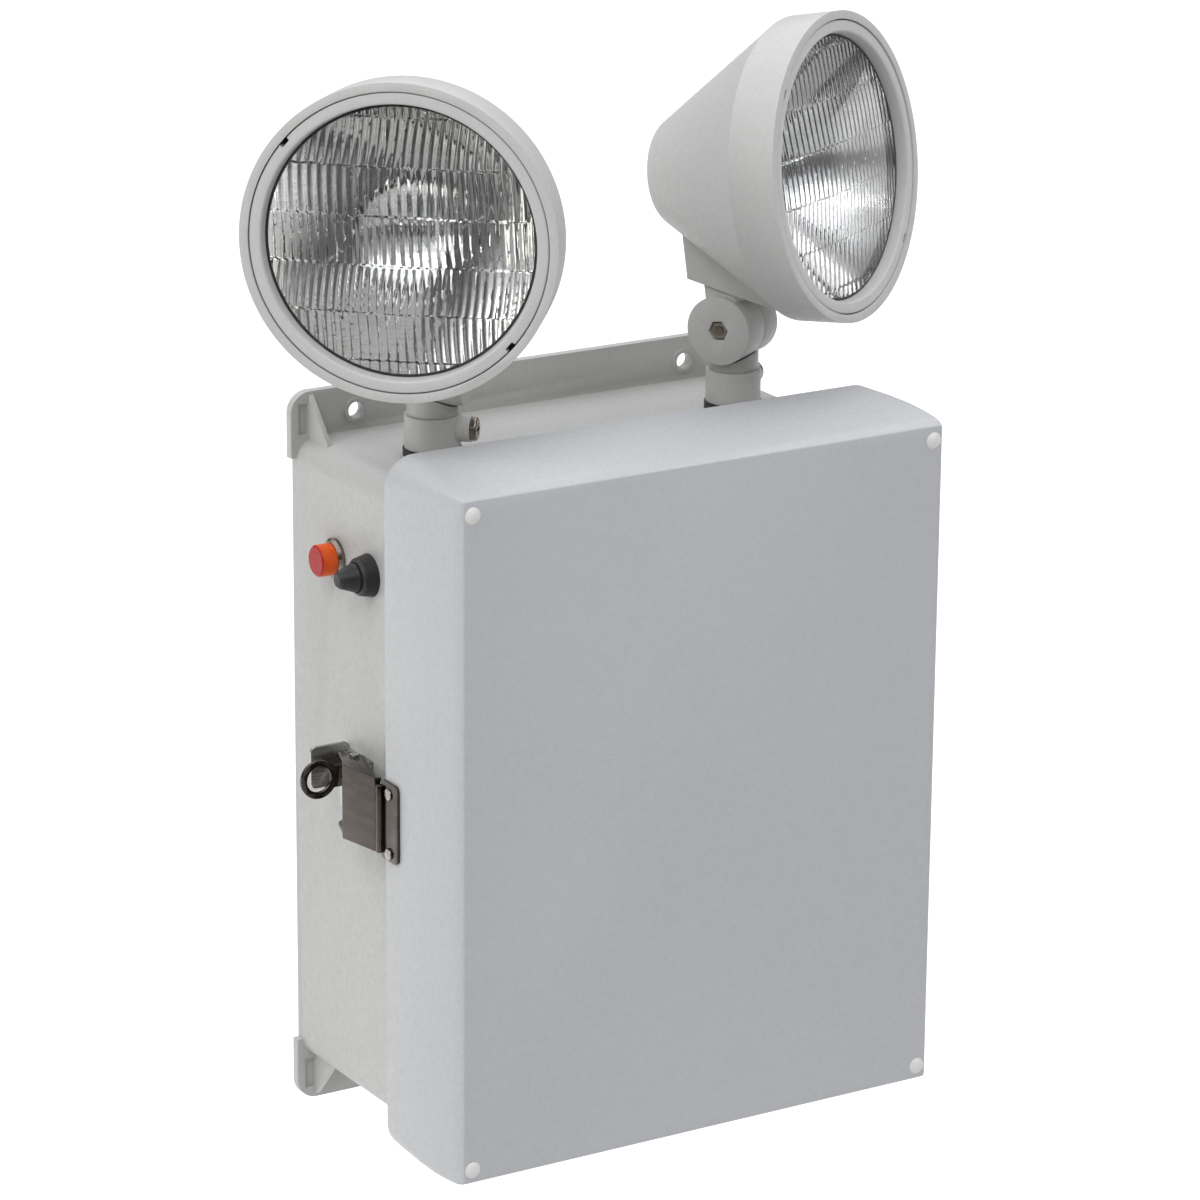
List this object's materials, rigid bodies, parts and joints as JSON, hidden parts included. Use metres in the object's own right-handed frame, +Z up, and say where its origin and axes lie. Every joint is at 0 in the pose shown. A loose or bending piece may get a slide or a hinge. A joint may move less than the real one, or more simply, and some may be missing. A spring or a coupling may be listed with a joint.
{
  "type": "emergency light",
  "caption": "Wall-mounted sealed emergency light: moulded box with hinged latched cover, pilot lamp, sprung test button and aimable sealed-beam lamp heads.",
  "frame": {"origin": "centre of the four wall holes, on the flat back face of the wall flange", "axes": "+X to the right seen from the front, -Y out of the wall towards the viewer, +Z up"},
  "size_m": [0.314, 0.1531, 0.468],
  "materials": {
    "battery_case": "dark grey battery case",
    "bezel_chrome": "nickel plated",
    "box_fibreglass": "pale grey moulded fibreglass with a fine speckle, satin",
    "bulb_cap": "aluminium bulb shield",
    "button_rubber": "black rubber boot",
    "circuit_board": "green laminate",
    "coil_tape": "yellow tape over the winding",
    "core_steel": "varnished steel laminations",
    "cover_fibreglass": "pale grey moulded fibreglass with a fine speckle, satin",
    "head_plastic": "warm pale grey moulded plastic, fine texture",
    "inner_plastic": "black moulded plastic",
    "latch_steel": "polished stainless sheet",
    "lead_insulation": "red and black lead insulation",
    "lens_glass": "clear fluted pressed glass",
    "nut_brass": "plain brass",
    "panel_steel": "white painted sheet steel",
    "pilot_red": "red translucent acrylic",
    "pin_steel": "drawn stainless pin",
    "plug_plastic": "pale grey satin plugs",
    "reflector_silver": "vacuum-coated silver bowl",
    "ring_plastic": "pale grey plastic ring",
    "rivet_steel": "stainless rivet heads",
    "screw_steel": "stainless screws",
    "seal_rubber": "black soft rubber",
    "sheet_stainless": "brushed stainless sheet",
    "terminal_plastic": "black terminal block",
    "zinc_steel": "zinc plated steel"
  },
  "bodies": {
    "enclosure": {"back_box": "box_fibreglass", "battery": "battery_case", "battery_strap": "panel_steel", "battery_terminals": "nut_brass", "board_standoffs": "nut_brass", "box_rivets": "rivet_steel", "charger_board": "circuit_board", "hinge_leaf_box": "sheet_stainless", "hinge_pin": "pin_steel", "lamp_leads": "lead_insulation", "latch_base": "sheet_stainless", "latch_pin": "pin_steel", "mounting_panel": "panel_steel", "padlock_eye": "latch_steel", "panel_screws": "screw_steel", "pilot_bezel": "bezel_chrome", "pilot_holder": "inner_plastic", "pilot_lens": "pilot_red", "side_nuts": "nut_brass", "stem_gaskets": "seal_rubber", "stem_locknuts": "zinc_steel", "stem_nipples": "zinc_steel", "terminal_strip": "terminal_plastic", "test_button_skirt": "button_rubber", "test_switch_body": "inner_plastic", "transformer_coil": "coil_tape", "transformer_core": "core_steel"},
    "cover": {"front_cover": "cover_fibreglass", "cover_gasket": "seal_rubber", "corner_plugs": "plug_plastic", "hinge_leaf_cover": "sheet_stainless", "latch_keeper": "latch_steel", "cover_rivets": "rivet_steel"},
    "latch_lever": {"latch_lever": "latch_steel"},
    "test_button": {"test_button_boot": "button_rubber", "test_button_stem": "pin_steel"},
    "left_swivel": {"left_collar": "head_plastic", "left_collar_screw": "screw_steel", "left_neck": "head_plastic"},
    "left_head": {"left_head_shell": "head_plastic", "left_retaining_ring": "ring_plastic", "left_lamp_seal": "seal_rubber", "left_lamp_lens": "lens_glass", "left_lamp_bowl": "reflector_silver", "left_lamp_bulb": "bulb_cap", "left_lamp_terminals": "nut_brass", "left_tilt_bolt": "screw_steel", "left_tilt_nut": "zinc_steel"},
    "right_swivel": {"right_collar": "head_plastic", "right_collar_screw": "screw_steel", "right_neck": "head_plastic"},
    "right_head": {"right_head_shell": "head_plastic", "right_retaining_ring": "ring_plastic", "right_lamp_seal": "seal_rubber", "right_lamp_lens": "lens_glass", "right_lamp_bowl": "reflector_silver", "right_lamp_bulb": "bulb_cap", "right_lamp_terminals": "nut_brass", "right_tilt_bolt": "screw_steel", "right_tilt_nut": "zinc_steel"}
  },
  "joints": [
    {"name": "cover_hinge", "type": "hinge", "parent": "enclosure", "child": "cover", "pos_m": [0.122, -0.093, 0], "axis": [0, 0, 1], "range_deg": [0, 120]},
    {"name": "latch_lever_hinge", "type": "hinge", "parent": "enclosure", "child": "latch_lever", "pos_m": [-0.1135, -0.063, 0.00245], "axis": [0, 0, 1], "range_deg": [-40, 0]},
    {"name": "test_button_press", "type": "slide", "parent": "enclosure", "child": "test_button", "axis": [1, 0, 0], "range_m": [0, 0.003], "stiffness_N_per_m": 800},
    {"name": "left_pan", "type": "hinge", "parent": "enclosure", "child": "left_swivel", "pos_m": [-0.07246, -0.0558, 0.15], "axis": [0, 0, 1], "range_deg": [-37.9, 47.1]},
    {"name": "left_tilt", "type": "hinge", "parent": "left_swivel", "child": "left_head", "pos_m": [-0.07246, -0.0558, 0.1748], "axis": [-0.742, 0.6704, 0], "range_deg": [-16.5, 44.5]},
    {"name": "right_pan", "type": "hinge", "parent": "enclosure", "child": "right_swivel", "pos_m": [0.07246, -0.0558, 0.15], "axis": [0, 0, 1], "range_deg": [-34.3, 50.7]},
    {"name": "right_tilt", "type": "hinge", "parent": "right_swivel", "child": "right_head", "pos_m": [0.07246, -0.0558, 0.1748], "axis": [-0.8721, -0.4894, 0], "range_deg": [-24, 36.9]}
  ]
}
